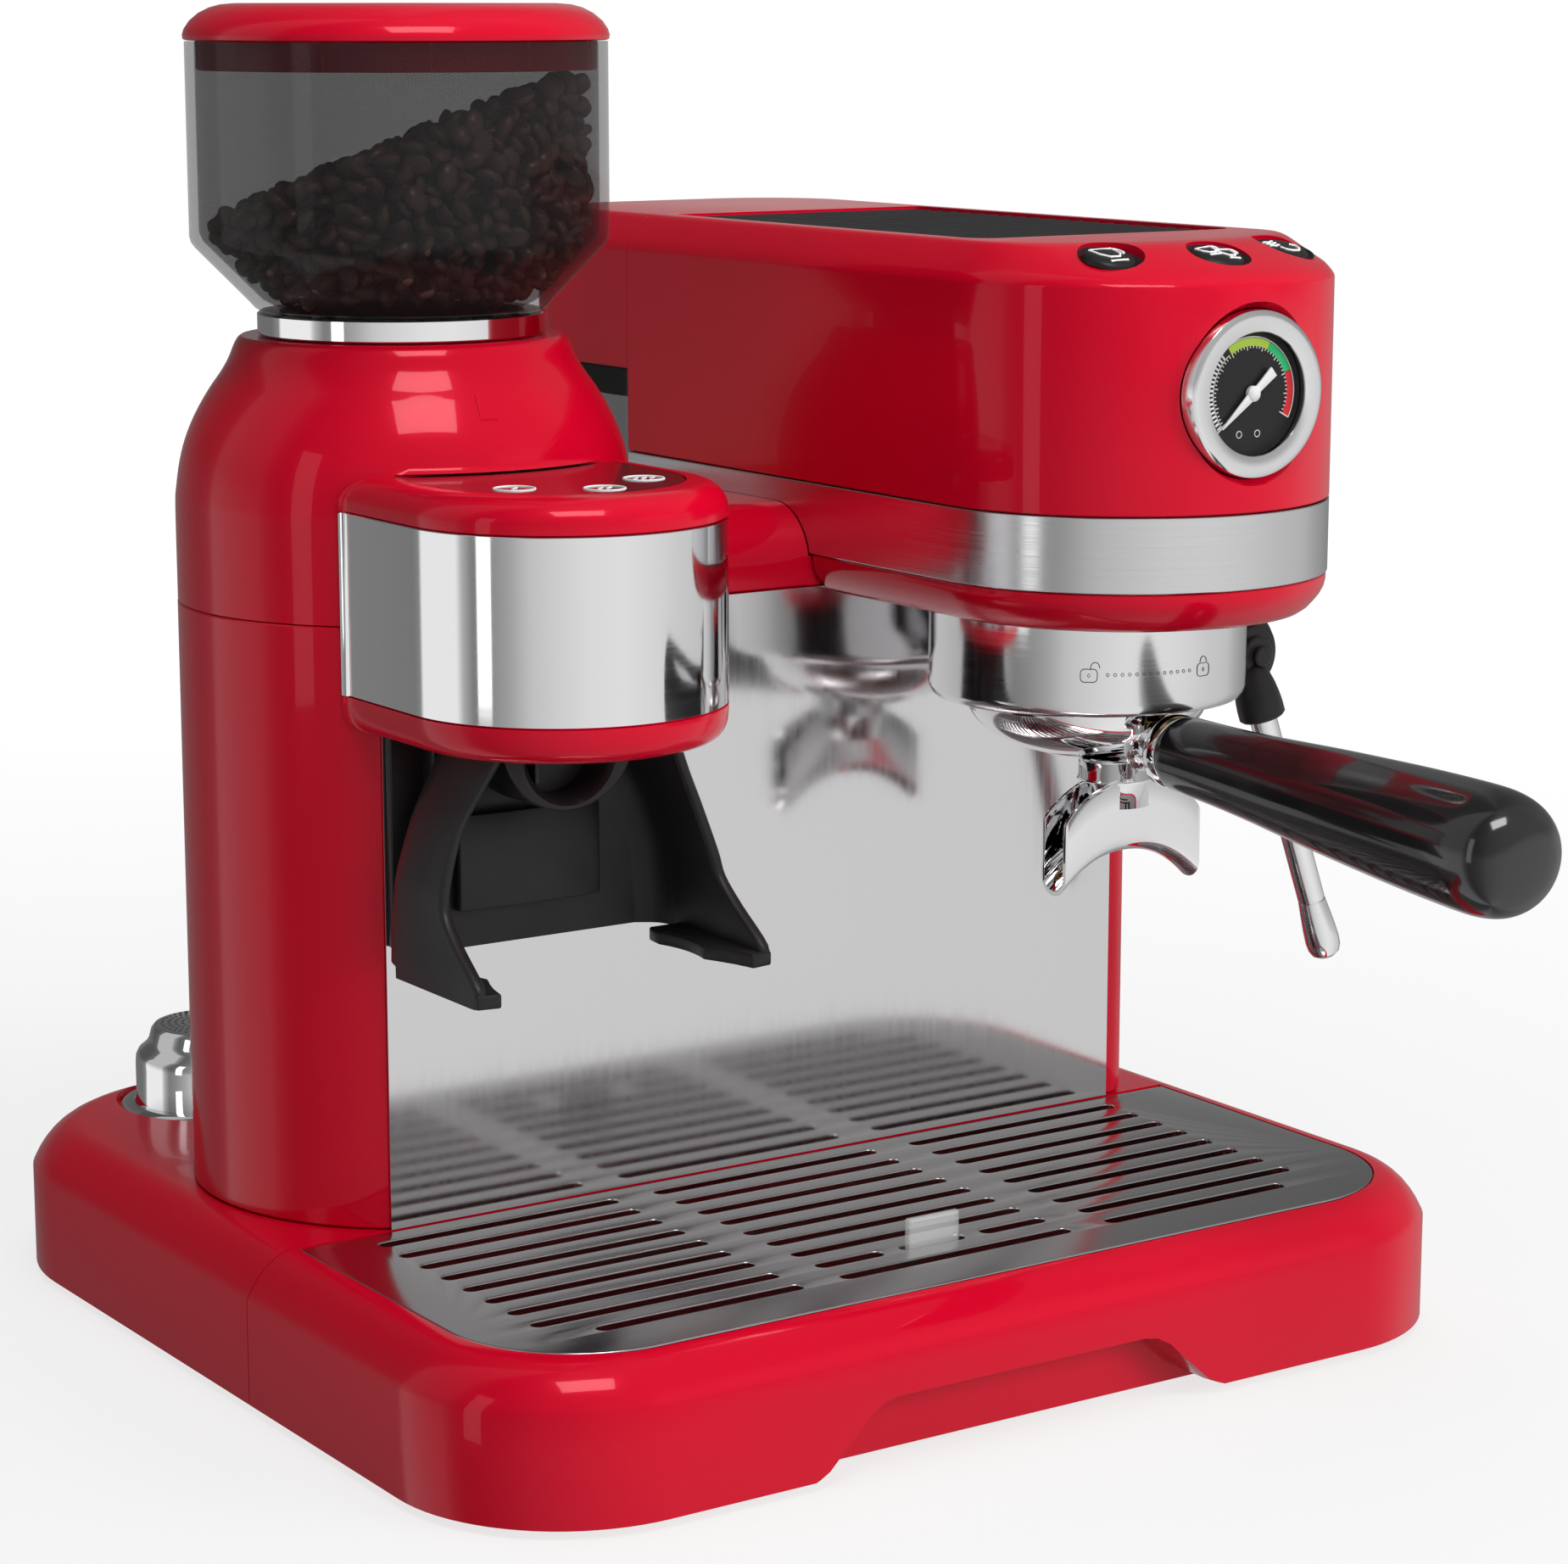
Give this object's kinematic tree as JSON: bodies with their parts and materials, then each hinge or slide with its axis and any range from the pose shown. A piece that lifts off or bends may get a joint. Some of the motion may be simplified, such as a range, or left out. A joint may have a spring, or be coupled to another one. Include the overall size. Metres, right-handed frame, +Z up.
{
  "type": "espresso machine",
  "caption": "Countertop espresso machine with a built-in bean grinder, portafilter, steam wand, pressure gauge and pull-out drip tray.",
  "frame": {"origin": "centre of the bounding box on the surface that the feet stand on", "axes": "+Z up, -Y towards the front (the portafilter side), +X to the right seen from the front"},
  "size_m": [0.33, 0.4258, 0.3745],
  "materials": {
    "red": "high gloss",
    "polished_steel": "polished",
    "brushed_steel": "brushed",
    "chrome": "mirror",
    "black_plastic": "satin",
    "gloss_black": "gloss",
    "rubber": "matte",
    "smoked_plastic": "clear smoked",
    "clear_plastic": "clear",
    "white_plastic": "matte",
    "brass": "machined",
    "aluminium": "cast",
    "burr_steel": "hardened, ground",
    "board": "matte",
    "silicone": "translucent"
  },
  "bodies": {
    "machine": {"back_cover": "black_plastic", "base_plinth": "black_plastic", "base_rear": "red", "body_shell": "red", "body_top": "red", "cable_gland": "black_plastic", "control_board": "board", "cup_tray": "black_plastic", "dose_band": "polished_steel", "dose_drum": "red", "dose_fork": "black_plastic", "foot_front_left": "rubber", "foot_front_right": "rubber", "foot_rear_left": "rubber", "foot_rear_right": "rubber", "gauge_case": "polished_steel", "gauge_dial": "gloss_black", "gauge_lens": "clear_plastic", "grind_chute": "black_plastic", "grinder_housing": "red", "grinder_motor": "aluminium", "group_cover": "chrome", "group_gasket": "rubber", "group_head": "brass", "head_band": "brushed_steel", "head_shell": "red", "head_skirt": "red", "hopper_ring": "chrome", "hose_pump_boiler": "silicone", "pump": "black_plastic", "shower_screen": "brushed_steel", "splash_panel": "polished_steel", "thermoblock": "aluminium", "touch_panel": "gloss_black", "wand_mount": "black_plastic"},
    "tray": {"drip_tray": "red"},
    "grille": {"drip_grille": "brushed_steel"},
    "float": {"tray_float": "clear_plastic"},
    "spare_basket": {"stored_basket": "polished_steel"},
    "tank": {"water_tank": "smoked_plastic", "tank_valve": "white_plastic"},
    "tank_cover": {"tank_lid": "red"},
    "hopper": {"hopper": "smoked_plastic", "burr_upper": "burr_steel"},
    "hopper_cover": {"hopper_lid": "red"},
    "burr": {"burr_lower": "burr_steel", "burr_shaft": "burr_steel"},
    "portafilter": {"portafilter": "chrome", "filter_basket": "polished_steel", "portafilter_spout": "chrome", "portafilter_grip": "gloss_black"},
    "one_cup_button": {"button_one_cup": "gloss_black"},
    "two_cups_button": {"button_two_cups": "gloss_black"},
    "steam_button": {"button_steam": "gloss_black"},
    "needle": {"gauge_needle": "white_plastic"},
    "plunger": {"pump_plunger": "burr_steel"},
    "wand": {"wand_elbow": "black_plastic", "steam_wand": "chrome"},
    "knob": {"steam_knob": "black_plastic"},
    "switch": {"power_switch": "gloss_black"}
  },
  "joints": [
    {"name": "tray_slide", "type": "slide", "parent": "machine", "child": "tray", "axis": [0, -1, 0], "range_m": [0, 0.11]},
    {"name": "grille_lift", "type": "slide", "parent": "tray", "child": "grille", "axis": [0, 0, 1], "range_m": [0, 0.03]},
    {"name": "float_rise", "type": "slide", "parent": "tray", "child": "float", "axis": [0, 0, 1], "range_m": [0, 0.007]},
    {"name": "spare_basket_lift", "type": "slide", "parent": "machine", "child": "spare_basket", "axis": [0, 0, 1], "range_m": [0, 0.04]},
    {"name": "tank_lift", "type": "slide", "parent": "machine", "child": "tank", "axis": [0, 0, 1], "range_m": [0, 0.12]},
    {"name": "tank_cover_lift", "type": "slide", "parent": "tank", "child": "tank_cover", "axis": [0, 0, 1], "range_m": [0, 0.03]},
    {"name": "hopper_turn", "type": "hinge", "parent": "machine", "child": "hopper", "pos_m": [-0.084, 0.07291, 0.2875], "axis": [0, 0, 1], "range_deg": [-45, 45]},
    {"name": "hopper_cover_lift", "type": "slide", "parent": "hopper", "child": "hopper_cover", "axis": [0, 0, 1], "range_m": [0, 0.03]},
    {"name": "burr_spin", "type": "hinge", "parent": "machine", "child": "burr", "pos_m": [-0.084, 0.07291, 0.2475], "axis": [0, 0, 1], "continuous": true},
    {"name": "portafilter_turn", "type": "hinge", "parent": "machine", "child": "portafilter", "pos_m": [0.0762, -0.03309, 0.1885], "axis": [0, 0, 1], "range_deg": [-45, 0]},
    {"name": "wand_swing", "type": "hinge", "parent": "machine", "child": "wand", "pos_m": [0.1355, -0.02989, 0.1883], "axis": [0, 1, 0], "range_deg": [-30, 15]},
    {"name": "steam_knob_turn", "type": "hinge", "parent": "machine", "child": "knob", "pos_m": [0.1349, 0.04091, 0.2645], "axis": [1, 0, 0], "range_deg": [0, 270]},
    {"name": "one_cup_press", "type": "slide", "parent": "machine", "child": "one_cup_button", "axis": [0, 0.2756, -0.9613], "range_m": [0, 0.0012], "stiffness_N_per_m": 300, "springref_m": -0.002},
    {"name": "two_cups_press", "type": "slide", "parent": "machine", "child": "two_cups_button", "axis": [0, 0.2756, -0.9613], "range_m": [0, 0.0012], "stiffness_N_per_m": 300, "springref_m": -0.002},
    {"name": "steam_press", "type": "slide", "parent": "machine", "child": "steam_button", "axis": [0, 0.2756, -0.9613], "range_m": [0, 0.0012], "stiffness_N_per_m": 300, "springref_m": -0.002},
    {"name": "gauge_needle_turn", "type": "hinge", "parent": "machine", "child": "needle", "pos_m": [0.0762, -0.10109, 0.2727], "axis": [0, 1, 0], "range_deg": [0, 260], "stiffness_Nm_per_rad": 0.0005, "springref_deg": -11.46},
    {"name": "plunger_stroke", "type": "slide", "parent": "machine", "child": "plunger", "axis": [0, 0, 1], "range_m": [0, 0.006], "stiffness_N_per_m": 300, "springref_m": -0.003},
    {"name": "power_rocker", "type": "hinge", "parent": "machine", "child": "switch", "pos_m": [-0.011, 0.12171, 0.1025], "axis": [1, 0, 0], "range_deg": [0, 12]}
  ]
}
